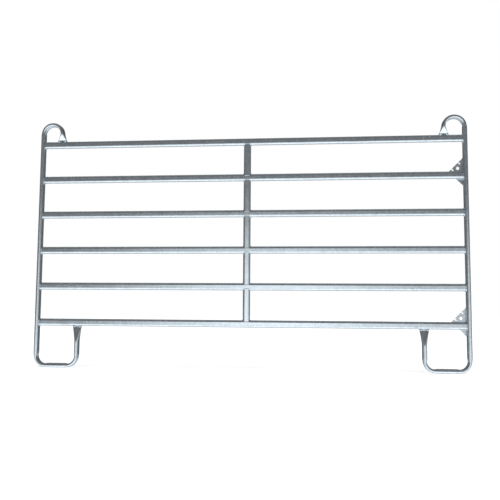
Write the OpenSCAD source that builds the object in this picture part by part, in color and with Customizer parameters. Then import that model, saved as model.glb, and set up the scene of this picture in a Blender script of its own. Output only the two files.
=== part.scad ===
/* [Overall] */
// Length over the outer faces of the end posts
panel_length = 3000; // [2400:10:3600]
// Height from the ground to the top of the loops
panel_height = 1750; // [1450:10:2100]

/* [Tube] */
// Long side of the flat-oval tube
tube_long = 50; // [42:1:60]
// Short side of the flat-oval tube
tube_short = 30; // [25:1:36]
// Wall thickness of every tube
tube_wall = 2; // [1.5:0.1:3]

/* [Rails] */
// Height of the lowest rail's centre line
low_rail_height = 315; // [262:1:380]
// Gap between an upright's coped end and the rail it meets
cope_gap = 0.3; // [0.1:0.1:1]

/* [End frames] */
// Centre-line radius of the bend at the top of the post
loop_radius = 70; // [56:1:90]
// Height of that bend's centre above the top rail's upper edge
loop_rise = 55; // [45:1:80]
// Centre-line radius of the two bends in the foot
foot_radius = 68; // [55:1:85]
// Distance between the centre lines of the post and the foot's inner leg
foot_span = 292; // [240:2:360]
// Width of a pinched end, along the panel
pinch_width = 62; // [52:1:66]
// Thickness of a pinched end, across the panel
pinch_thickness = 8; // [6:0.5:12]
// Length over which the foot's inner leg is pinched
pinch_length = 110; // [60:5:120]

/* [Chain plates] */
// Thickness of a plate
plate_thickness = 6; // [4:0.5:9]
// Length of a plate's edge along the post
plate_edge = 190; // [180:2:230]
// Height of a plate's top corner above its rail's centre line
plate_rise = 120; // [100:2:125]
// Length cut off a plate's inner corner
plate_nose = 3; // [1:0.5:6]
// Diameter of the round hole
hole_diameter = 22; // [16:1:27]
// Distance of the hole from the top corner, along the sloping edge
hole_along = 73; // [66:1:78]
// Distance of the hole's centre from the sloping edge
hole_inset = 27; // [24:1:33]
// Width of a chain slot
slot_width = 9; // [7:0.5:11]
// Depth of a chain slot
slot_depth = 18; // [14:1:22]
// Distance of each chain slot from the hole, along the sloping edge
slot_offset = 32; // [28:1:39]

/* [Welds] */
// Width of a weld bead
weld_size = 4; // [3:0.5:6]
// Height of a bead over two tubes' flush faces
weld_proud = 1.5; // [1:0.5:3]

/* [Hidden] */
$fn = 48;
rail_count = 6;
plated_rails = [2, 6];
// Ends and flats of the tube's flat-oval section
end_radius = tube_short / 2;
flat_half = (tube_long - tube_short) / 2;
// Places along the panel, for its right half
post_x = panel_length / 2 - end_radius;
rail_end = post_x - end_radius;
loop_leg_x = post_x - 2 * loop_radius;
foot_leg_x = post_x - foot_span;
// Heights
loop_centre_z = panel_height - end_radius - loop_radius;
loop_leg_z = loop_centre_z - loop_rise;
top_rail_height = loop_leg_z - tube_long / 2;
rail_pitch = (top_rail_height - low_rail_height) / (rail_count - 1);
foot_bend_z = end_radius + foot_radius;
foot_leg_z = low_rail_height - tube_long / 2;
// Behind the panel's middle plane
rail_back = end_radius;
// Slices that a pinched end is blended from, and how much smaller than the tube its round end is
slice = 1;
blend_step = 0.6;

steel = [0.74, 0.76, 0.78];
bead = [0.62, 0.64, 0.66];
rail_names = [for (i = [1:rail_count]) str("rail_", i)];
upright_names = [for (i = [1:rail_count - 1]) str("upright_", i)];

// Centre height of rail i, counted from the top
function rail_z(i) = low_rail_height + (rail_count - i) * rail_pitch;

// Flat oval of the tube's outside, grown by `grow`, with its long side along y
module oval(grow = 0) {
    r = end_radius + grow;
    translate([0, flat_half]) circle(r);
    translate([0, -flat_half]) circle(r);
    square([2 * r, 2 * flat_half], center = true);
}

module tube_ring() {
    difference() {
        oval();
        oval(-tube_wall);
    }
}

module weld_ring() {
    difference() {
        oval(weld_size);
        oval();
    }
}

// Turns an upright extrusion to run along the panel, with its long side standing up
module along_panel() {
    rotate([90, 0, 90]) children();
}

// Solid outside of the right post, which cuts what meets it
module post_core() {
    translate([post_x, 0, 0]) linear_extrude(panel_height) oval();
}

// Solid outside of a length of rail i, grown by `grow`, which cuts what meets it
module rail_core(i, from, to, grow = 0) {
    translate([from, 0, rail_z(i)]) along_panel() linear_extrude(to - from) oval(grow);
}

// Straight length of an end frame's upright tube
module frame_tube(x, z_low, z_high) {
    translate([x, 0, z_low]) linear_extrude(z_high - z_low) tube_ring();
}

// Bend of an end frame's tube in the panel's plane, from angle `start` over `turn` degrees
module frame_bend(x, z, radius, start, turn) {
    translate([x, 0, z]) rotate([90, 0, 0]) rotate([0, 0, start])
        rotate_extrude(angle = turn) translate([radius, 0]) tube_ring();
}

// Blend from the pinched slot at the bottom to the tube's flat oval at the top, `inset` inside the outside
module pinch_blend(length, inset = 0, over = 0) {
    hull() {
        pinch_slice(pinch_width - 2 * inset, pinch_thickness - 2 * inset, -over);
        pinch_slice(tube_short - 2 * inset - blend_step, tube_long - 2 * inset - blend_step,
            length - slice + over);
    }
}

// Thin round-ended slice, for a blend
module pinch_slice(width, depth, z) {
    r = min(width, depth) / 2;
    for (sx = [-1, 1], sy = [-1, 1])
        translate([sx * (width / 2 - r), sy * (depth / 2 - r), z])
            linear_extrude(slice) circle(r, $fn = 32);
}

// Tube end squeezed to a slot at the bottom
module pinched_end(length) {
    difference() {
        pinch_blend(length);
        pinch_blend(length, tube_wall, slice);
    }
}

// Right end frame: inner leg, foot, post and loop, bent from one tube
module end_frame() {
    translate([foot_leg_x, 0, foot_leg_z]) mirror([0, 0, 1]) pinched_end(pinch_length);
    frame_tube(foot_leg_x, foot_bend_z, foot_leg_z - pinch_length);
    frame_bend(foot_leg_x + foot_radius, foot_bend_z, foot_radius, 180, 90);
    translate([foot_leg_x + foot_radius, 0, end_radius]) rotate([0, 90, 0])
        linear_extrude(foot_span - 2 * foot_radius) tube_ring();
    frame_bend(post_x - foot_radius, foot_bend_z, foot_radius, 270, 90);
    frame_tube(post_x, foot_bend_z, loop_centre_z);
    frame_bend(post_x - loop_radius, loop_centre_z, loop_radius, 0, 180);
    translate([loop_leg_x, 0, loop_leg_z]) pinched_end(loop_rise);
}

module left_end_frame() {
    color(steel) mirror([1, 0, 0]) end_frame();
}

module right_end_frame() {
    color(steel) end_frame();
}

module rail(i) {
    color(steel) translate([-rail_end, 0, rail_z(i)]) along_panel()
        linear_extrude(2 * rail_end) tube_ring();
}

// Upright between rails i and i + 1, coped to their round edges, with its long side along the panel
module upright(i) {
    color(steel) difference() {
        translate([0, 0, rail_z(i + 1)]) linear_extrude(rail_pitch) rotate([0, 0, 90]) tube_ring();
        rail_core(i, -tube_long, tube_long, cope_gap);
        rail_core(i + 1, -tube_long, tube_long, cope_gap);
    }
}

// Face of a chain plate: x runs inboard from the post's centre line, y up from its rail's centre line
module plate_face() {
    half = plate_edge / 2;
    tip_x = end_radius + half - plate_nose;
    mid_y = plate_rise - half;
    difference() {
        polygon([[0, plate_rise], [end_radius, plate_rise], [tip_x, mid_y + plate_nose],
            [tip_x, mid_y - plate_nose], [end_radius, plate_rise - plate_edge], [0, plate_rise - plate_edge]]);
        translate([end_radius, plate_rise]) rotate(-45) {
            translate([hole_along, -hole_inset]) circle(d = hole_diameter);
            for (side = [-1, 1])
                translate([hole_along + side * slot_offset - slot_width / 2, -slot_depth])
                    square([slot_width, 2 * slot_depth]);
        }
    }
}

// Chain plate on the back of rail i, its edge fitted to the post's round side
module chain_plate(i) {
    color(steel) difference() {
        translate([post_x, rail_back + plate_thickness, rail_z(i)]) rotate([90, 0, 0])
            linear_extrude(plate_thickness) mirror([1, 0]) plate_face();
        post_core();
    }
}

module upper_chain_plate() {
    chain_plate(plated_rails[0]);
}

module lower_chain_plate() {
    chain_plate(plated_rails[1]);
}

// Beads round the right ends of the rails, which also fill in to the post's round sides
module rail_welds() {
    for (i = [1:rail_count])
        difference() {
            translate([rail_end - weld_size, 0, rail_z(i)]) along_panel()
                linear_extrude(weld_size + end_radius) weld_ring();
            post_core();
            if (is_plated(i)) plate_room(i);
        }
}

function is_plated(i) = len(search(i, plated_rails)) > 0;

// Space that a chain plate takes behind rail i
module plate_room(i) {
    translate([post_x - tube_long, rail_back, rail_z(i) - plate_edge])
        cube([tube_long, tube_long, 2 * plate_edge]);
}

module right_rail_welds() {
    color(bead) rail_welds();
}

module left_rail_welds() {
    color(bead) mirror([1, 0, 0]) rail_welds();
}

// Flat oval of a bead laid on the tube: `weld_proud` over its flats and `weld_size` over its ends
module bead_oval() {
    r = end_radius + weld_proud;
    half = tube_long / 2 + weld_size - r;
    translate([0, half]) circle(r);
    translate([0, -half]) circle(r);
    square([2 * r, 2 * half], center = true);
}

// Bead round the end of an upright on rail i: `side` is 1 on top of the rail and -1 under it
module upright_weld(i, side) {
    depth = end_radius + weld_size;
    difference() {
        intersection() {
            translate([0, 0, rail_z(i) + side * (flat_half + depth / 2)])
                linear_extrude(depth, center = true) rotate([0, 0, 90]) bead_oval();
            translate([-tube_long, 0, rail_z(i)]) along_panel() linear_extrude(2 * tube_long) bead_oval();
        }
        rail_core(i, -tube_long, tube_long);
        translate([0, 0, rail_z(i) - rail_pitch / 2]) linear_extrude(rail_pitch) rotate([0, 0, 90]) oval();
    }
}

module upright_welds() {
    color(bead) for (i = [1:rail_count - 1]) {
        upright_weld(i, -1);
        upright_weld(i + 1, 1);
    }
}

// Bead round a pinched end that stands on a rail
module leg_weld(length) {
    depth = pinch_thickness + 2 * weld_size;
    straight = pinch_width - pinch_thickness;
    difference() {
        translate([0, 0, -weld_size]) linear_extrude(2 * weld_size) {
            square([straight, depth], center = true);
            for (side = [-1, 1])
                translate([side * straight / 2, 0]) circle(d = depth);
        }
        pinch_blend(length);
        translate([0, 0, -tube_long / 2]) translate([-tube_long, 0, 0]) along_panel()
            linear_extrude(2 * tube_long) oval();
    }
}

module leg_welds() {
    color(bead) for (side = [0, 1])
        mirror([side, 0, 0]) {
            translate([loop_leg_x, 0, loop_leg_z]) leg_weld(loop_rise);
            translate([foot_leg_x, 0, foot_leg_z]) mirror([0, 0, 1]) leg_weld(pinch_length);
        }
}

// Bead of `height` in the corner between a plate and the post, from `z`, on the side of the plate that starts at y
module plate_weld(y, z, height) {
    difference() {
        translate([rail_end - weld_size, y, z]) cube([weld_size + end_radius, weld_size, height]);
        post_core();
    }
}

module chain_plate_welds() {
    rail_top = tube_long / 2 + weld_size;
    color(bead) for (i = plated_rails) {
        plate_weld(rail_back - weld_size, rail_z(i) + rail_top, plate_rise - rail_top);
        plate_weld(rail_back - weld_size, rail_z(i) + plate_rise - plate_edge,
            plate_edge - plate_rise - rail_top);
        plate_weld(rail_back + plate_thickness, rail_z(i) + plate_rise - plate_edge, plate_edge);
    }
}

left_end_frame();
right_end_frame();
for (i = [1:rail_count])
    rail(i);
for (i = [1:rail_count - 1])
    upright(i);
upper_chain_plate();
lower_chain_plate();
left_rail_welds();
right_rail_welds();
upright_welds();
leg_welds();
chain_plate_welds();
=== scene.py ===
# %% [markdown]
# # A galvanised cattle panel
# The panel is welded from flat-oval steel tube and dipped in zinc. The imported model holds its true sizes, so
# every piece below takes its place from the boxes of that model's nodes, and nothing is measured by eye.

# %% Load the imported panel
import math
import random

import bpy
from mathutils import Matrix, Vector


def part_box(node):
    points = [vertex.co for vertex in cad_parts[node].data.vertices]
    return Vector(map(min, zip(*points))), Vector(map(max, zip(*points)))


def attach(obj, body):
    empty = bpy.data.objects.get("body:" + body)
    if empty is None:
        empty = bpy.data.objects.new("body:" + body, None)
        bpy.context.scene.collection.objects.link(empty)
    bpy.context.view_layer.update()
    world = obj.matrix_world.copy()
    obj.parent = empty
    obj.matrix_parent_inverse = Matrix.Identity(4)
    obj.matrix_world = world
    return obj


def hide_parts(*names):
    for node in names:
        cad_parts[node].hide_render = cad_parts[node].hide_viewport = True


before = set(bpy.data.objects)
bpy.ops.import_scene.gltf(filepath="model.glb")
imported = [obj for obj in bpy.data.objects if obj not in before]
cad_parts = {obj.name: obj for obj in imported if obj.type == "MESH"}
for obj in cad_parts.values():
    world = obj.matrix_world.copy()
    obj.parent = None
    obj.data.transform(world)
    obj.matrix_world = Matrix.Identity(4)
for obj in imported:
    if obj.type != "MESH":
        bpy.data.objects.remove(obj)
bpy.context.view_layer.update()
print("panel nodes:", len(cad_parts))

# %% [markdown]
# ## Sizes
# A rail's box gives the tube's two sides, the rails' heights give the spacing, and the end frame's box gives
# the posts. The few sizes that no box shows, such as a bend's radius, are written once here, in metres.

# %% Read the sizes from the nodes
RAILS = [f"rail_{i}" for i in range(1, 7)]
UPRIGHTS = [f"upright_{i}" for i in range(1, 6)]
rail_low, rail_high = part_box("rail_1")
frame_low, frame_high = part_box("right_end_frame")
tube_long = rail_high.z - rail_low.z
tube_short = rail_high.y - rail_low.y
round_r = tube_short / 2
flat_half = (tube_long - tube_short) / 2
wall = 0.002
post_x = frame_high.x - round_r
rail_end = post_x - round_r
top_z = frame_high.z
rail_heights = [sum(corner.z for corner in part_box(name)) / 2 for name in RAILS]
loop_r = 0.070
foot_r = 0.068
pinch_width = 0.062
pinch_depth = 0.008
pinch_length = 0.110
foot_leg_x = frame_low.x + pinch_width / 2
loop_leg_x = post_x - 2 * loop_r
loop_z = top_z - round_r - loop_r
loop_leg_z = rail_heights[0] + tube_long / 2
foot_leg_z = rail_heights[-1] - tube_long / 2
print(f"tube {tube_long * 1000:.0f} x {tube_short * 1000:.0f} mm, posts at x = +-{post_x:.3f} m")

# %% [markdown]
# ## Camera
# The panel is seen from a little right of its middle and from knee height, so the posts lean together towards
# the top. The lens and the camera's place were found by lining up the straight tubes with a pinhole camera.

# %% Place the camera
SENSOR_WIDTH = 36.0
LENS = 46.08
CAMERA_PLACE = (0.4519, -4.3903, 0.4240)
CAMERA_TURN = (95.174, -0.404, 5.553)
camera_data = bpy.data.cameras.new("camera")
camera_data.sensor_width = SENSOR_WIDTH
camera_data.lens = LENS
camera = bpy.data.objects.new("camera", camera_data)
bpy.context.scene.collection.objects.link(camera)
camera.location = CAMERA_PLACE
camera.rotation_euler = [math.radians(turn) for turn in CAMERA_TURN]
bpy.context.scene.camera = camera
print("camera at", CAMERA_PLACE)

# %% [markdown]
# ## Shader maths
# A shader is a sum of small steps. Writing it as a formula is easier to read than a web of nodes, so one
# small class wraps a socket and gives it the operators, and one method adds any other node.


# %% Sockets that can be added and multiplied
class Wire:
    def __init__(self, tree, socket):
        self.tree = tree
        self.socket = socket

    def maths(self, operation, *values):
        node = self.tree.add("ShaderNodeMath", {"operation": operation}, dict(enumerate(values)))
        return node(0)

    def __add__(self, other):
        return self.maths("ADD", self, other)

    def __sub__(self, other):
        return self.maths("SUBTRACT", self, other)

    def __mul__(self, other):
        return self.maths("MULTIPLY", self, other)

    def __rsub__(self, other):
        return self.maths("SUBTRACT", other, self)

    __radd__ = __add__
    __rmul__ = __mul__

    def between(self, low, high):
        node = self.tree.add(
            "ShaderNodeMapRange",
            {"interpolation_type": "SMOOTHSTEP"},
            {"Value": self, "From Min": low, "From Max": high},
        )
        return node("Result")


class Shader:
    def __init__(self, name, world=False):
        store = bpy.data.worlds if world else bpy.data.materials
        self.owner = store.new(name)
        self.owner.use_nodes = True
        self.nodes = self.owner.node_tree.nodes
        self.nodes.clear()

    def add(self, kind, settings, values):
        node = self.nodes.new(kind)
        for key, value in settings.items():
            setattr(node, key, value)
        for key, value in values.items():
            if isinstance(value, Wire):
                self.owner.node_tree.links.new(value.socket, node.inputs[key])
            else:
                node.inputs[key].default_value = value
        return lambda output: Wire(self, node.outputs[output])

    def blend(self, factor, low, high):
        low = low if isinstance(low, Wire) else (*low, 1.0)
        high = high if isinstance(high, Wire) else (*high, 1.0)
        mix = self.add("ShaderNodeMix", {"data_type": "RGBA"}, {0: factor, 6: low, 7: high})
        return mix(2)

    def noise(self, at, scale, detail=3.0):
        values = {"Vector": at, "Scale": scale, "Detail": detail, "Roughness": 0.55}
        return self.add("ShaderNodeTexNoise", {}, values)("Fac")


print("shader helpers ready")

# %% [markdown]
# ## Zinc
# Hot-dip galvanising leaves a bright, slightly uneven skin. It freezes in crystals called spangle, a
# centimetre or two across, and it runs a little before it sets, so it has faint streaks and slight waves.
# Spangle is a cell pattern that shifts the colour and the roughness, streaks are a noise stretched down the
# panel, and the waves are bump. Plates and beads are rougher and duller than the drawn tube.


# %% Make the zinc
SPANGLE_SCALE = 75.0
WARP_SCALE = 40.0
WARP_REACH = 0.012
STREAK_SCALE = (30.0, 30.0, 5.0)
CLOUD_SCALE = 9.0
FINE_SCALE = 420.0
WAVE_HEIGHT = 0.003
METAL = 0.95


def make_zinc(name, bright, dull, rough, rough_spread, waves):
    shader = Shader(name)
    place = shader.add("ShaderNodeTexCoord", {}, {})("Object")
    warp_values = {"Vector": place, "Scale": WARP_SCALE, "Detail": 2.0}
    warp = shader.add("ShaderNodeTexNoise", {}, warp_values)("Color")
    shifted = shader.add("ShaderNodeVectorMath", {"operation": "SCALE"}, {0: warp, "Scale": WARP_REACH})(0)
    bent = shader.add("ShaderNodeVectorMath", {"operation": "ADD"}, {0: place, 1: shifted})(0)
    cells = shader.add("ShaderNodeTexVoronoi", {}, {"Vector": bent, "Scale": SPANGLE_SCALE})("Color")
    spangle = shader.add("ShaderNodeSeparateColor", {}, {"Color": cells})("Red")
    run = shader.add("ShaderNodeMapping", {}, {"Vector": place, "Scale": STREAK_SCALE})("Vector")
    streak = shader.noise(run, 1.0, 4.0)
    cloud = shader.noise(place, CLOUD_SCALE)
    fine = shader.noise(place, FINE_SCALE, 2.0)
    tone = spangle * 0.35 + streak * 0.30 + cloud * 0.35
    colour = shader.blend(tone.between(0.25, 0.75), dull, bright)
    crystals = spangle * 0.6 + fine * 0.4 - 0.5
    roughness = rough + crystals * rough_spread + (cloud - 0.5) * rough_spread
    height = cloud * 0.6 + streak * 0.3 + fine * 0.02
    bump = shader.add("ShaderNodeBump", {}, {"Height": height, "Strength": waves, "Distance": WAVE_HEIGHT})
    values = {"Base Color": colour, "Metallic": METAL, "Roughness": roughness, "Normal": bump("Normal")}
    surface = shader.add("ShaderNodeBsdfPrincipled", {}, values)("BSDF")
    shader.add("ShaderNodeOutputMaterial", {}, {"Surface": surface})
    print("made", name)
    return shader.owner


tube_zinc = make_zinc(
    "zinc_on_tube",
    bright=(0.87, 0.89, 0.91),
    dull=(0.72, 0.745, 0.77),
    rough=0.14,
    rough_spread=0.06,
    waves=0.12,
)
plate_zinc = make_zinc(
    "zinc_on_plate",
    bright=(0.84, 0.86, 0.88),
    dull=(0.68, 0.70, 0.73),
    rough=0.22,
    rough_spread=0.09,
    waves=0.16,
)
weld_zinc = make_zinc(
    "zinc_on_weld",
    bright=(0.84, 0.86, 0.88),
    dull=(0.64, 0.66, 0.68),
    rough=0.20,
    rough_spread=0.10,
    waves=0.3,
)

# %% [markdown]
# ## Working in edit mode
# An operator acts on all that is selected, so each step starts from nothing selected. The first helpers start
# a piece from a primitive, and pick its vertices or its edges by a test on their place.


# %% Helpers that start a piece and pick its parts
def clear_selection():
    if bpy.context.object and bpy.context.object.mode != "OBJECT":
        bpy.ops.object.mode_set(mode="OBJECT")
    bpy.ops.object.select_all(action="DESELECT")


def choose(piece):
    clear_selection()
    bpy.context.view_layer.objects.active = piece
    piece.select_set(True)


def start_piece(name, adder, **settings):
    clear_selection()
    adder(**settings)
    piece = bpy.context.object
    piece.name = name
    piece.data.name = name
    return piece


def pick(piece, test, mode="VERT"):
    """Selects the vertices or edges that pass the test, and leaves edit mode on."""
    bpy.context.view_layer.objects.active = piece
    bpy.ops.object.mode_set(mode="EDIT")
    bpy.ops.mesh.select_mode(type=mode)
    bpy.ops.mesh.select_all(action="DESELECT")
    bpy.ops.object.mode_set(mode="OBJECT")
    mesh = piece.data
    if mode == "VERT":
        for vertex in mesh.vertices:
            vertex.select = test(vertex.co)
    else:
        for edge in mesh.edges:
            ends = [mesh.vertices[index].co for index in edge.vertices]
            edge.select = test(*ends)
    bpy.ops.object.mode_set(mode="EDIT")


print("picking helpers ready")

# %% [markdown]
# A modifier is applied as soon as it is set, so that the next step works on real faces. A piece's place, turn
# and scale go into its mesh, because the zinc's pattern is laid on the mesh's own coordinates. Faces are
# turned outward before a wall is given or a cutter is used.


# %% Helpers that shape a piece
MERGE_GAP = 0.00001


def apply_modifier(piece, kind, **settings):
    modifier = piece.modifiers.new(kind.lower(), kind)
    for key, value in settings.items():
        setattr(modifier, key, value)
    choose(piece)
    bpy.ops.object.modifier_apply(modifier=modifier.name)


def put_place_in_mesh(piece):
    choose(piece)
    bpy.ops.object.transform_apply(location=True, rotation=True, scale=True)


def face_outward(piece):
    choose(piece)
    bpy.ops.object.mode_set(mode="EDIT")
    bpy.ops.mesh.select_all(action="SELECT")
    bpy.ops.mesh.remove_doubles(threshold=MERGE_GAP)
    bpy.ops.mesh.normals_make_consistent(inside=False)
    bpy.ops.object.mode_set(mode="OBJECT")


def cut_away(piece, cutter):
    face_outward(cutter)
    apply_modifier(piece, "BOOLEAN", operation="DIFFERENCE", object=cutter, solver="EXACT")
    bpy.data.objects.remove(cutter)


print("shaping helpers ready, doubles merge within", MERGE_GAP * 1000, "mm")

# %% [markdown]
# What repeats is modelled once and copied, and each copy has a mesh of its own. Small parts of one kind are
# joined into one piece. A finished piece gets smooth shading, its zinc and its body, and the nodes that
# it stands for are hidden.


# %% Helpers that copy, join and finish pieces
def copy_down(first, names, heights):
    """The first piece and its copies, one for each name, each moved to its own height."""
    pieces = [first]
    for name, height in zip(names[1:], heights[1:]):
        choose(first)
        bpy.ops.object.duplicate(linked=False)
        copy = bpy.context.object
        copy.name = name
        copy.data.name = name
        copy.location.z = height - heights[0]
        put_place_in_mesh(copy)
        pieces.append(copy)
    return pieces


def join_pieces(name, pieces):
    clear_selection()
    for piece in pieces:
        piece.select_set(True)
    bpy.context.view_layer.objects.active = pieces[0]
    bpy.ops.object.join()
    pieces[0].name = name
    pieces[0].data.name = name
    return pieces[0]


def finish_piece(piece, finish, slot, *nodes, angle=35):
    choose(piece)
    bpy.ops.object.shade_smooth_by_angle(angle=math.radians(angle))
    piece.data.materials.clear()
    piece.data.materials.append(finish)
    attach(piece, "root")
    if nodes:
        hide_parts(*nodes)
    print(piece.name, len(piece.data.polygons), "faces")


print("finishing helpers ready")

# %% [markdown]
# ## The tube's section
# Every tube has the same flat-oval section. A circle becomes a flat oval when its two halves move apart, so
# the section starts as a circle whose corners straddle the split.

# %% Draw the section
OVAL_CORNERS = 48
FLAT_CUTS = 11


def oval_loop(name, place, turn):
    """A loop of edges with its long side along its own Y, then turned and placed."""
    loop = start_piece(
        name, bpy.ops.mesh.primitive_circle_add, vertices=OVAL_CORNERS, radius=round_r
    )
    half_step = math.pi / OVAL_CORNERS
    loop.rotation_euler.z = half_step
    put_place_in_mesh(loop)
    for side in (1, -1):
        pick(loop, lambda co: co.y * side > 0)
        bpy.ops.transform.translate(value=(0, side * flat_half, 0))
    pick(loop, lambda a, b: a.y * b.y < 0, "EDGE")
    bpy.ops.mesh.subdivide(number_cuts=FLAT_CUTS)
    bpy.ops.object.mode_set(mode="OBJECT")
    loop.scale.x = 1 / math.cos(half_step)
    put_place_in_mesh(loop)
    loop.location = place
    loop.rotation_euler = turn
    put_place_in_mesh(loop)
    return loop


print("section has", OVAL_CORNERS, "corners on its ends and", FLAT_CUTS, "on each flat")

# %% [markdown]
# ## Rails
# A rail is a straight length of tube, butted to the posts. The section is turned to stand on edge and
# extruded along the panel, and the open sleeve is then given its wall. The other five rails are copies of the
# top one.

# %% Make the rails
QUARTER = math.pi / 2
RAIL_STEPS = 12


def extrude(move, steps=1):
    for _ in range(steps):
        bpy.ops.mesh.extrude_region_move(
            TRANSFORM_OT_translate={"value": [part / steps for part in move]}
        )


def give_wall(piece):
    face_outward(piece)
    apply_modifier(piece, "SOLIDIFY", thickness=wall, offset=-1)


rail_tube_names = [f"{name}_tube" for name in RAILS]
top_rail = oval_loop(rail_tube_names[0], (-rail_end, 0, rail_heights[0]), (QUARTER, 0, QUARTER))
pick(top_rail, lambda co: True)
extrude((2 * rail_end, 0, 0), RAIL_STEPS)
give_wall(top_rail)
for rail_tube, rail_name in zip(copy_down(top_rail, rail_tube_names, rail_heights), RAILS):
    finish_piece(rail_tube, tube_zinc, "galvanised_tube", rail_name)

# %% [markdown]
# ## End frames
# Each end frame is one tube: the inner leg, the foot, the post and the loop. The section is extruded along
# the straights and spun round the bends, as the bender's roller would take it.

# %% Sweep the end frame's tube
BEND_Z = round_r + foot_r
LEG_STEPS = 24


def spin(steps, turn, centre):
    bpy.ops.mesh.spin(steps=steps, angle=turn, center=centre, axis=(0, 1, 0))


def sweep_end_frame(name):
    tube = oval_loop(name, (foot_leg_x, 0, foot_leg_z), (0, 0, 0))
    pick(tube, lambda co: True)
    extrude((0, 0, BEND_Z - foot_leg_z), LEG_STEPS * 2)
    spin(LEG_STEPS, QUARTER, (foot_leg_x + foot_r, 0, BEND_Z))
    extrude((post_x - foot_leg_x - 2 * foot_r, 0, 0), LEG_STEPS // 2)
    spin(LEG_STEPS, QUARTER, (post_x - foot_r, 0, BEND_Z))
    extrude((0, 0, loop_z - BEND_Z), LEG_STEPS * 3)
    spin(LEG_STEPS * 2, 2 * QUARTER, (post_x - loop_r, 0, loop_z))
    extrude((0, 0, loop_leg_z - loop_z), LEG_STEPS)
    bpy.ops.object.mode_set(mode="OBJECT")
    return tube


print("a frame's foot bends at height", round(BEND_Z, 4))

# %% [markdown]
# ## Pinched ends
# The press closes the tube's end from front and back, and the wall keeps its length, so the end spreads along
# the panel. At each level the section is a rounded rectangle, whose flat front grows from nothing to the
# slot's width: this is the V-shaped face that a pinched tube has. Moving points along the section by their
# share of its length suits this better than any tool.


# %% Shape the pinched section
QUARTER_GIRTH = flat_half + round_r * QUARTER
SLOT_SHARE = 0.89
SLOT_FLAT = SLOT_SHARE * pinch_width / 2
DEPTH_POWER = 1.3
FLAT_POWER = 1.15


def pinched_point(along, across, level):
    """Slides a point of the section, measured from the leg's centre. The level is 0 at the leg's end."""
    share = 1 - level
    half_depth = pinch_depth / 2 + (tube_long - pinch_depth) / 2 * (1 - share**DEPTH_POWER)
    flat_front = SLOT_FLAT * share**FLAT_POWER
    corner = (QUARTER_GIRTH - half_depth - flat_front) / (QUARTER - 1)
    side_flat = half_depth - corner
    if abs(across) <= flat_half:
        reach = abs(across)
    else:
        reach = flat_half + round_r * math.atan2(abs(across) - flat_half, abs(along))
    if reach < side_flat:
        place = (flat_front + corner, reach)
    elif reach < side_flat + corner * QUARTER:
        turn = (reach - side_flat) / corner
        place = (flat_front + corner * math.cos(turn), side_flat + corner * math.sin(turn))
    else:
        place = (QUARTER_GIRTH - reach, half_depth)
    return math.copysign(place[0], along), math.copysign(place[1], across)


print(f"a quarter of the section's wall is {QUARTER_GIRTH * 1000:.1f} mm long")

# %% [markdown]
# The last centimetre is pressed to its full width, and above it the section opens bit by bit to the flat
# oval. Where the two walls meet, a shallow dent folds down the middle of each.


# %% Pinch a leg's end
PRESSED = 0.010
DENT_DEPTH = 0.0016
DENT_HALF_WIDTH = pinch_width * 0.3
DENT_STRETCH = 1.1
END_SLACK = 0.001


def ease(value):
    value = min(max(value, 0.0), 1.0)
    return value * value * (3 - 2 * value)


def pinch(tube, leg_x, end_z, length):
    """Pinches a leg over `length` from its end, upward, or downward where `length` is negative."""
    flat_share = PRESSED / abs(length)
    for vertex in tube.data.vertices:
        along = vertex.co.x - leg_x
        level = (vertex.co.z - end_z) / length
        if abs(along) > tube_short or not -END_SLACK < level < 1:
            continue
        open_level = max(level - flat_share, 0.0) / (1 - flat_share)
        along, across = pinched_point(along, vertex.co.y, open_level)
        middle = max(0.0, 1 - (along / DENT_HALF_WIDTH) ** 2) ** 2
        dent = DENT_DEPTH * middle * math.sin(math.pi * ease(level * DENT_STRETCH))
        across -= math.copysign(dent, across)
        vertex.co.x = leg_x + along
        vertex.co.y = across


print(f"pinched ends open over {pinch_length * 1000:.0f} mm")

# %% [markdown]
# A vent hole is drilled in the front of each pinched end, so that the zinc runs in and the air runs out. It
# goes through the front wall only.


# %% Drill a vent hole
VENT_R = 0.0050
VENT_INSET = 0.0075


def drill_vent(tube, leg_x, end_z, inward):
    """Drills near a leg's end: above it where `inward` is 1, and below it where it is -1."""
    cutter = start_piece(
        "vent_cutter",
        bpy.ops.mesh.primitive_cylinder_add,
        vertices=32,
        radius=VENT_R,
        depth=tube_short,
        location=(leg_x, -tube_short / 2, end_z + inward * VENT_INSET),
        rotation=(QUARTER, 0, 0),
    )
    put_place_in_mesh(cutter)
    cut_away(tube, cutter)


print(f"vent holes are {VENT_R * 2000:.0f} mm wide")

# %% [markdown]
# ## Crushed bends
# Flat-oval tube is bent hard, with nothing inside to hold its shape. The inner wall buckles into a groove
# with folds along it, and the outer wall flattens a little. Both moves are towards the tube's middle and fade
# where the bend begins.


# %% Crush a bend
BEND_FADE = 0.30
FADE_START = 0.6
GROOVE_HALF_WIDTH = tube_long * 0.46
GROOVE_POWER = 1.3
GROOVE_SLOPE = 1.3
FOLD_SHARE = 0.22
FOLDS = 3


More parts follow.
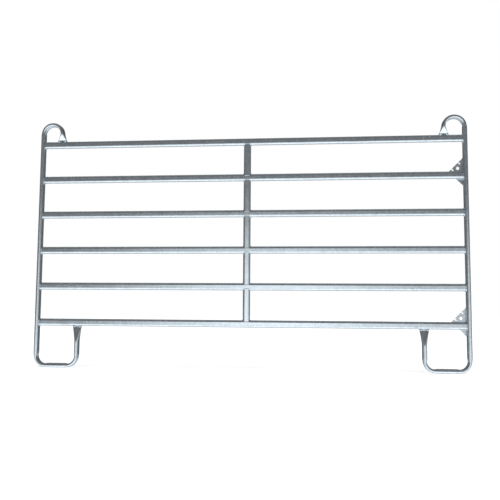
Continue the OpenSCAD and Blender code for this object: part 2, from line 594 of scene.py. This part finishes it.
def crush(tube, centre, radius, low_turn, high_turn, groove, flatten):
    low_end, high_end = low_turn - BEND_FADE, high_turn + BEND_FADE
    for vertex in tube.data.vertices:
        out_x = vertex.co.x - centre[0]
        out_z = vertex.co.z - centre[1]
        turn = math.atan2(out_z, out_x) % (2 * math.pi)
        reach = math.hypot(out_x, out_z)
        if abs(reach - radius) > tube_short or not low_end < turn < high_end:
            continue
        share = ease((turn - low_turn) / BEND_FADE + FADE_START)
        share *= ease((high_turn - turn) / BEND_FADE + FADE_START)
        depth = (reach - radius) / round_r
        middle = math.cos(min(abs(vertex.co.y) / GROOVE_HALF_WIDTH, 1.0) * QUARTER)
        folds = 1 - FOLD_SHARE + FOLD_SHARE * math.cos(vertex.co.y / tube_long * 2 * FOLDS * math.pi)
        if depth < 0:
            move = groove * folds * middle**GROOVE_POWER * min(1.0, -depth * GROOVE_SLOPE)
        else:
            move = -flatten * depth
        move *= share
        vertex.co.x += out_x / reach * move
        vertex.co.z += out_z / reach * move


print("crushed bends fade out over", round(math.degrees(BEND_FADE)), "degrees")

# %% [markdown]
# Each frame is shaped as the right one, and the left one is then mirrored. Their grooves differ a little,
# because no two bends crush alike.


# %% Make both end frames
GROOVES = {"left": 0.0110, "right": 0.0100}
BENDS = (
    # centre, radius, first and last turn, share of the groove, how far the outer wall flattens
    ((post_x - loop_r, loop_z), loop_r, 0, math.pi, 1.0, 0.0018),
    ((post_x - foot_r, BEND_Z), foot_r, 3 * QUARTER, 4 * QUARTER - 0.001, 0.9, 0.0032),
    ((foot_leg_x + foot_r, BEND_Z), foot_r, 2 * QUARTER, 3 * QUARTER, 0.8, 0.0026),
)


def make_end_frame(name, side, groove):
    tube = sweep_end_frame(name)
    for centre, radius, low_turn, high_turn, groove_share, flatten in BENDS:
        crush(tube, centre, radius, low_turn, high_turn, groove * groove_share, flatten)
    pinch(tube, foot_leg_x, foot_leg_z, -pinch_length)
    pinch(tube, loop_leg_x, loop_leg_z, loop_z - loop_leg_z)
    if side < 0:
        pick(tube, lambda co: True)
        bpy.ops.transform.resize(value=(-1, 1, 1), center_override=(0, 0, 0))
        bpy.ops.object.mode_set(mode="OBJECT")
    give_wall(tube)
    drill_vent(tube, side * foot_leg_x, foot_leg_z, -1)
    drill_vent(tube, side * loop_leg_x, loop_leg_z, 1)
    return tube


for side_name, side in (("left", -1), ("right", 1)):
    frame_tube = make_end_frame(f"{side_name}_frame_tube", side, GROOVES[side_name])
    finish_piece(frame_tube, tube_zinc, "galvanised_tube", f"{side_name}_end_frame")

# %% [markdown]
# ## Uprights
# The short uprights stand between the rails in the middle of the panel. Their ends are sawn to a saddle, so
# that they sit on the rails' round edges. The section is extruded from rail to rail, and its levels are then
# squeezed between the two saddles by formula. The rails stand evenly, so the lower four uprights are copies
# of the top one.

# %% Make the uprights
COPE_GAP = 0.0003
UPRIGHT_STEPS = 8


def saddle(across):
    """Height over a rail's centre of its surface, at a distance across the panel."""
    return flat_half + math.sqrt(max(0.0, (round_r + COPE_GAP) ** 2 - across**2))


def make_upright(name, low_rail, high_rail):
    tube = oval_loop(name, (0, 0, low_rail), (0, 0, QUARTER))
    pick(tube, lambda co: True)
    extrude((0, 0, high_rail - low_rail), UPRIGHT_STEPS)
    bpy.ops.object.mode_set(mode="OBJECT")
    for vertex in tube.data.vertices:
        low = low_rail + saddle(vertex.co.y)
        high = high_rail - saddle(vertex.co.y)
        level = (vertex.co.z - low_rail) / (high_rail - low_rail)
        vertex.co.z = low + level * (high - low)
    give_wall(tube)
    return tube


upright_tube_names = [f"{name}_tube" for name in UPRIGHTS]
top_upright = make_upright(upright_tube_names[0], rail_heights[1], rail_heights[0])
upright_tubes = copy_down(top_upright, upright_tube_names, rail_heights[1:])
for upright_tube, upright_name in zip(upright_tubes, UPRIGHTS):
    finish_piece(upright_tube, tube_zinc, "galvanised_tube", upright_name)

# %% [markdown]
# ## Chain plates
# Each plate is a right-angled triangle cut from 6 mm sheet. A square is turned on its corner, cut across its
# middle and its nose, and given its thickness.

# %% Cut a plate's outline
NOSE = 0.003
SLOPE = math.pi / 4
PLATES = [f"{level}_chain_plate" for level in ("upper", "lower")]
plate_low, plate_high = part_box(PLATES[0])
plate_middle = (plate_low + plate_high) / 2
plate_thick = plate_high.y - plate_low.y


def cut_outline(name):
    half = (plate_high.z - plate_low.z) / 2
    plate = start_piece(name, bpy.ops.mesh.primitive_plane_add, size=half * math.sqrt(2))
    plate.rotation_euler.z = SLOPE
    put_place_in_mesh(plate)
    for x, direction in ((0, 1), (-half + NOSE, -1)):
        pick(plate, lambda co: True)
        bpy.ops.mesh.bisect(
            plane_co=(x, 0, 0), plane_no=(direction, 0, 0), clear_outer=True, use_fill=False
        )
        bpy.ops.object.mode_set(mode="OBJECT")
    pick(plate, lambda co: True)
    extrude((0, 0, plate_thick))
    bpy.ops.object.mode_set(mode="OBJECT")
    plate.rotation_euler.x = QUARTER
    plate.location = (rail_end, plate_high.y, plate_middle.z)
    put_place_in_mesh(plate)
    return plate


print(f"plates are {plate_thick * 1000:.0f} mm thick")

# %% [markdown]
# A round hole takes a pin or a shackle, and the two slots in the slope each hold a link of the chain. Their
# places are measured along the slope from its top, and inward from it. Boolean cutters pierce them.

# %% Pierce a plate
HOLE_R = 0.011
HOLE_ALONG = 0.073
HOLE_INSET = 0.027
SLOT_WIDTH = 0.009
SLOT_DEPTH = 0.018
SLOT_OFFSET = 0.032
CUTTER_DEPTH = plate_thick * 4


def on_plate(along, inset):
    slope_x, slope_z = -math.sin(SLOPE), -math.cos(SLOPE)
    x = rail_end + along * slope_x - inset * slope_z
    return x, plate_middle.y, plate_high.z + along * slope_z + inset * slope_x


def pierce(plate):
    hole = start_piece(
        "hole_cutter",
        bpy.ops.mesh.primitive_cylinder_add,
        vertices=64,
        radius=HOLE_R,
        depth=CUTTER_DEPTH,
        location=on_plate(HOLE_ALONG, HOLE_INSET),
        rotation=(QUARTER, 0, 0),
    )
    put_place_in_mesh(hole)
    cut_away(plate, hole)
    for offset in (-SLOT_OFFSET, SLOT_OFFSET):
        slot = start_piece(
            "slot_cutter",
            bpy.ops.mesh.primitive_cube_add,
            size=1,
            location=on_plate(HOLE_ALONG + offset, 0),
            rotation=(0, SLOPE, 0),
        )
        slot.scale = (2 * SLOT_DEPTH, CUTTER_DEPTH, SLOT_WIDTH)
        put_place_in_mesh(slot)
        cut_away(plate, slot)
    face_outward(plate)


print(f"the hole is {HOLE_R * 2000:.0f} mm wide, the slots {SLOT_WIDTH * 1000:.0f} mm")

# %% [markdown]
# The plate's upright edge follows the post's round side, and a small bevel rounds every edge, as the zinc
# does. After smoothing, the normals are weighted by face area, so that the flats shade flat and only the
# bevels look round. The lower plate is a copy of the upper one.

# %% Make the chain plates
EDGE_REACH = 0.0001
PLATE_BEVEL = 0.0007


def fit_to_post(plate):
    for vertex in plate.data.vertices:
        if abs(vertex.co.x - rail_end) < EDGE_REACH:
            across = min(vertex.co.y - flat_half, round_r)
            vertex.co.x = post_x - math.sqrt(round_r**2 - across**2)


upper_plate = cut_outline("upper_plate")
pierce(upper_plate)
fit_to_post(upper_plate)
bevel = {"width": PLATE_BEVEL, "segments": 2, "limit_method": "ANGLE", "angle_limit": math.radians(40)}
apply_modifier(upper_plate, "BEVEL", **bevel)
plate_heights = [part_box(node)[0].z for node in PLATES]
for plate, node in zip(copy_down(upper_plate, ["upper_plate", "lower_plate"], plate_heights), PLATES):
    finish_piece(plate, plate_zinc, "galvanised_plate", node, angle=60)
    apply_modifier(plate, "WEIGHTED_NORMAL", weight=100, keep_sharp=True)

# %% [markdown]
# ## Welds
# A hand-laid bead is a row of small overlapping pools, which the zinc half hides. Each bead is drawn as a
# curve whose points swell and shrink, one swell for each pool, and the curve is made a mesh. A bead with two
# ends tapers at both.

# %% Lay a bead along a seam
BEAD_R = 0.0034
POOL_LENGTH = 0.0048
POINTS_PER_POOL = 4
SWELLS = (0.94, 1.05)
RIPPLE = 0.02
END_SIZE = 0.35
END_TAPER = 0.02
SEAM_SAMPLES = 200
weld_random = random.Random(7)


def lay_bead(name, seam, closed=True, radius=BEAD_R):
    """`seam` gives a place for any share from 0 to 1 of the seam's length."""
    samples = [seam(step / SEAM_SAMPLES) for step in range(SEAM_SAMPLES + 1)]
    length = sum((b - a).length for a, b in zip(samples, samples[1:]))
    pools = max(3, round(length / POOL_LENGTH))
    count = pools * POINTS_PER_POOL
    swells = [weld_random.uniform(*SWELLS) for _ in range(pools)]
    swells.append(swells[0])
    curve = bpy.data.curves.new(name, "CURVE")
    curve.dimensions = "3D"
    curve.bevel_depth = radius
    curve.bevel_resolution = 2
    curve.use_fill_caps = True
    spline = curve.splines.new("POLY")
    spline.points.add(count - 1)
    spline.use_cyclic_u = closed
    for index, point in enumerate(spline.points):
        share = index / count if closed else index / (count - 1)
        point.co = (*seam(share), 1)
        phase = (index % POINTS_PER_POOL) / POINTS_PER_POOL
        from_end = min(share, 1 - share) * length
        taper = 1.0 if closed else min(1.0, END_SIZE + 3 * from_end / END_TAPER)
        pool = index // POINTS_PER_POOL
        swell = swells[pool] * (1 - phase) + swells[pool + 1] * phase
        point.radius = swell * taper * (1 - RIPPLE + RIPPLE * math.sin(2 * math.pi * phase))
    bead = bpy.data.objects.new(name, curve)
    bpy.context.scene.collection.objects.link(bead)
    choose(bead)
    bpy.ops.object.convert(target="MESH")
    return bpy.context.object


print("beads have pools", POOL_LENGTH * 1000, "mm long")

# %% [markdown]
# A bead's path follows its seam by formula. The bead round a rail or an upright follows the flat oval. A post
# is round on its inner side, so the rail's bead falls back with it towards the front and the back.


# %% Follow the seams
def oval_seam(share, grow):
    """A point on the flat oval grown by `grow`: across its short side, and along its long side."""
    radius = round_r + grow
    arc = math.pi * radius
    reach = (share % 1.0) * 2 * (arc + 2 * flat_half)
    flip = 1
    if reach >= arc + 2 * flat_half:
        reach -= arc + 2 * flat_half
        flip = -1
    if reach < arc:
        turn = reach / radius
        return flip * radius * math.cos(turn), flip * (flat_half + radius * math.sin(turn))
    return flip * -radius, flip * (flat_half - (reach - arc))


def post_surface(across):
    """How far a post's inner side falls back, at a distance across the panel."""
    past = min(max(abs(across) - flat_half, 0.0), round_r)
    return round_r - math.sqrt(round_r**2 - past**2)


print("an upright's bead rises", round((saddle(0) - saddle(round_r)) * 1000, 1), "mm along its saddle")

# %% [markdown]
# The beads round the rails sit half sunk in the corner between rail and post. Those round the uprights ride
# the saddle on the rail.


# %% Lay the beads of the rails and uprights
RAIL_BEAD_GROW = BEAD_R * 0.30
RAIL_BEAD_LEAN = BEAD_R * 0.45
UPRIGHT_BEAD_R = BEAD_R * 0.86
UPRIGHT_BEAD_GROW = BEAD_R * 0.16
UPRIGHT_BEAD_LIFT = BEAD_R * 0.35


def rail_bead(name, side, height):
    def seam(share):
        across, up = oval_seam(share, RAIL_BEAD_GROW)
        along = rail_end + post_surface(across) - RAIL_BEAD_LEAN
        return Vector((side * along, across, height + up))

    return lay_bead(name, seam)


def upright_bead(name, height, side):
    def seam(share):
        across, along = oval_seam(share, UPRIGHT_BEAD_GROW)
        up = saddle(min(abs(across), round_r)) + UPRIGHT_BEAD_LIFT
        return Vector((along, across, height + side * up))

    return lay_bead(name, seam, radius=UPRIGHT_BEAD_R)


for side_name, side in (("left", -1), ("right", 1)):
    beads = [rail_bead(f"{side_name}_bead", side, height) for height in rail_heights]
    group = join_pieces(f"{side_name}_rail_beads", beads)
    finish_piece(group, weld_zinc, "weld_bead", f"{side_name}_rail_welds", angle=60)

beads = [upright_bead("upright_bead", height, -1) for height in rail_heights[:-1]]
beads += [upright_bead("upright_bead", height, 1) for height in rail_heights[1:]]
finish_piece(join_pieces("upright_beads", beads), weld_zinc, "weld_bead", "upright_welds", angle=60)

# %% [markdown]
# A pinched end is welded to the rail with short, fat beads, two on each face, one on either side of the vent
# hole, so that the hole stays open.


# %% Lay the beads of the pinched ends
LEG_BEAD_R = 0.0072
LEG_BEAD_OUT = LEG_BEAD_R * 0.25
LEG_BEAD_LIFT = LEG_BEAD_R * 0.35


def leg_bead(name, leg_x, height, side, face, end):
    """A bead on one face of a pinched end, from its corner at `end` to just short of the vent hole."""
    run = pinch_width / 2 - VENT_R - LEG_BEAD_R

    def seam(share):
        along = end * (pinch_width / 2 - share * run)
        across = face * (pinch_depth / 2 + LEG_BEAD_OUT) * (1 - (1 - share) ** 8)
        return Vector((leg_x + along, across, height + side * LEG_BEAD_LIFT))

    return lay_bead(name, seam, closed=False, radius=LEG_BEAD_R)


beads = []
for side in (-1, 1):
    for face, end in ((-1, -1), (-1, 1), (1, -1), (1, 1)):
        beads.append(leg_bead("leg_bead", side * loop_leg_x, loop_leg_z, 1, face, end))
        beads.append(leg_bead("leg_bead", side * foot_leg_x, foot_leg_z, -1, face, end))
finish_piece(join_pieces("leg_beads", beads), weld_zinc, "weld_bead", "leg_welds", angle=60)

# %% [markdown]
# A plate is welded to the post down its back, and down its front above and below the rail that crosses it.


# %% Lay the beads of the plates
PLATE_BEAD_R = 0.0034
PLATE_BEAD_OUT = PLATE_BEAD_R * 0.12
PLATE_BEAD_LEAN = PLATE_BEAD_R * 0.6
PLATE_RAILS = (1, 5)


def plate_bead(name, across, outward, low_z, high_z):
    """A bead between the post and the plate's face at `across`, which looks `outward` along Y."""
    past = min(abs(across) - flat_half, round_r * 0.98)
    along = post_x - math.sqrt(round_r**2 - past**2) - PLATE_BEAD_LEAN

    def seam(share):
        return Vector((along, across + outward * PLATE_BEAD_OUT, low_z + share * (high_z - low_z)))

    return lay_bead(name, seam, closed=False, radius=PLATE_BEAD_R)


beads = []
for node, rail in zip(PLATES, PLATE_RAILS):
    low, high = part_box(node)
    clear = tube_long / 2 + 2 * BEAD_R
    beads.append(plate_bead("plate_bead", low.y, -1, rail_heights[rail] + clear, high.z))
    beads.append(plate_bead("plate_bead", low.y, -1, low.z, rail_heights[rail] - clear))
    beads.append(plate_bead("plate_bead", high.y, 1, low.z, high.z))
finish_piece(join_pieces("plate_beads", beads), weld_zinc, "weld_bead", "chain_plate_welds", angle=60)

# %% [markdown]
# ## Zinc lumps
# Zinc that sets before it has run off leaves small lumps and drips, in a few clusters on the rails' faces and
# lower edges. No two are alike, so each is a small ball, flattened, turned and roughened by seeded random
# moves.


# %% Scatter the lumps
LUMP_R = 0.0034
LUMP_WIDTHS = (0.6, 1.5)
LUMP_DEPTHS = (0.35, 0.6)
LUMP_HEIGHTS = (0.6, 1.1)
LUMP_TURNS = (-0.9, 0.9)
LUMP_LEVELS = (-0.85, 0.75)
lump_random = random.Random(21)
CLUSTERS = (
    # rail, where its middle is, how far it spreads each way, number of lumps
    ("rail_6", 1.105, 0.075, 9),
    ("rail_5", 1.140, 0.030, 4),
    ("rail_5", -1.265, 0.080, 9),
    ("rail_1", 1.230, 0.030, 4),
)


def rail_face(level):
    """The rail's front at a level from -1, its bottom, to 1, its top: how far forward, and how high."""
    up = level * tube_long / 2
    past = max(abs(up) - flat_half, 0.0)
    return -math.sqrt(max(round_r**2 - past**2, 0.0)), up


def make_lump(place):
    lump = start_piece("lump", bpy.ops.mesh.primitive_ico_sphere_add, subdivisions=3, radius=LUMP_R)
    lump.scale = [lump_random.uniform(*sizes) for sizes in (LUMP_WIDTHS, LUMP_DEPTHS, LUMP_HEIGHTS)]
    lump.rotation_euler.y = lump_random.uniform(*LUMP_TURNS)
    put_place_in_mesh(lump)
    pick(lump, lambda co: co.y < LUMP_R * 0.1)
    bpy.ops.transform.vertex_random(offset=LUMP_R * 0.10, seed=lump_random.randint(1, 999))
    bpy.ops.object.mode_set(mode="OBJECT")
    lump.location = place
    put_place_in_mesh(lump)
    return lump


lumps = []
for rail_name, centre_x, spread_x, count in CLUSTERS:
    height = rail_heights[RAILS.index(rail_name)]
    for _ in range(count):
        depth, up = rail_face(lump_random.uniform(*LUMP_LEVELS))
        along = centre_x + lump_random.uniform(-spread_x, spread_x)
        lumps.append(make_lump((along, depth, height + up)))
finish_piece(join_pieces("zinc_lumps", lumps), tube_zinc, "galvanised_tube", angle=60)

# %% [markdown]
# ## Studio
# A plain pale floor and one soft sun light the panel evenly. The floor glows a little, so that it stays pale,
# and it is left out of reflections, because the lower half of the dome made next already stands for the
# ground.

# %% Set up the floor and the sun
FLOOR_SIZE = 60
FLOOR_PAINT = (0.92, 0.92, 0.92, 1)
FLOOR_GLOW = 0.62
SUN_ENERGY = 1.5
SUN_ANGLE = math.radians(50)
SUN_PLACE = (0, -1, 4)
SUN_TURN = (math.radians(25), math.radians(8), 0)
floor = start_piece("floor", bpy.ops.mesh.primitive_plane_add, size=FLOOR_SIZE)
pale = Shader("pale_floor")
diffuse = pale.add("ShaderNodeBsdfDiffuse", {}, {"Color": FLOOR_PAINT})("BSDF")
glow = pale.add("ShaderNodeEmission", {}, {"Color": (1, 1, 1, 1), "Strength": FLOOR_GLOW})("Emission")
paint = pale.add("ShaderNodeAddShader", {}, {0: diffuse, 1: glow})("Shader")
pale.add("ShaderNodeOutputMaterial", {}, {"Surface": paint})
floor.data.materials.append(pale.owner)
floor.visible_glossy = False

clear_selection()
bpy.ops.object.light_add(type="SUN", location=SUN_PLACE, rotation=SUN_TURN)
sun = bpy.context.object
sun.name = "soft_sun"
sun.data.energy = SUN_ENERGY
sun.data.angle = SUN_ANGLE
sun.visible_glossy = False
print("sun angle", round(math.degrees(sun.data.angle)), "degrees")

# %% [markdown]
# Polished metal shows only what stands round it, so the dome is what gives the tubes their bands: bright
# ground in front with a dimmer verge, a dark upper half, a glow on part of the horizon, and less light
# behind. `between` fades from 0 at its first number to 1 at its second, and heights run from -1, straight
# down, to 1, straight up. The camera sees plain white instead.

# %% Paint the dome
EVEN_LIGHT = 0.13
GROUND_LIGHT = 1.35
VERGE_SHADE = 0.65
HORIZON_LIGHT = 1.1
BACK_LIGHT = 0.50
TOP_LIGHT = 0.05
HIGH_SHADE = 0.06
SKY_TINT = (0.85, 0.94, 1.0)
WHITE = (1.0, 1.0, 1.0)
dome = Shader("dome", world=True)
direction = dome.add("ShaderNodeTexCoord", {}, {})("Generated")
split = dome.add("ShaderNodeSeparateXYZ", {}, {"Vector": direction})
height = split("Z")
front = (0.0 - split("Y")).between(-0.05, 0.60)
aside = split("X")
middle = aside.between(-0.42, -0.05) * (1.0 - aside.between(-0.05, 0.20) * 0.6)
horizon_glow = (1.0 - height.between(0.01, 0.19)) * (0.05 + middle * 0.95)
ground = 1.0 - height.between(-0.18, 0.0)
verge = (1.0 - height.between(-0.16, -0.06)) * height.between(-0.60, -0.44)
front_light = 0.04 + horizon_glow * (1.0 - ground) * HORIZON_LIGHT
front_light += ground * (GROUND_LIGHT - verge * VERGE_SHADE)
back_light = (1.0 - height.between(-0.34, -0.08)) * BACK_LIGHT
high_band = height.between(0.34, 0.50) * (1.0 - height.between(0.65, 0.78))
overhead = height.between(0.78, 0.97) * TOP_LIGHT - high_band * HIGH_SHADE
light = EVEN_LIGHT + front * front_light + (1.0 - front) * back_light + overhead
sky = dome.add("ShaderNodeVectorMath", {"operation": "SCALE"}, {0: SKY_TINT, "Scale": light})(0)
seen = dome.add("ShaderNodeLightPath", {}, {})("Is Camera Ray")
shown = dome.blend(seen, sky, WHITE)
background = dome.add("ShaderNodeBackground", {}, {"Color": shown, "Strength": 1.0})("Background")
dome.add("ShaderNodeOutputWorld", {}, {"Surface": background})
bpy.context.scene.world = dome.owner
bpy.context.scene.view_settings.view_transform = "Standard"
print("studio ready")
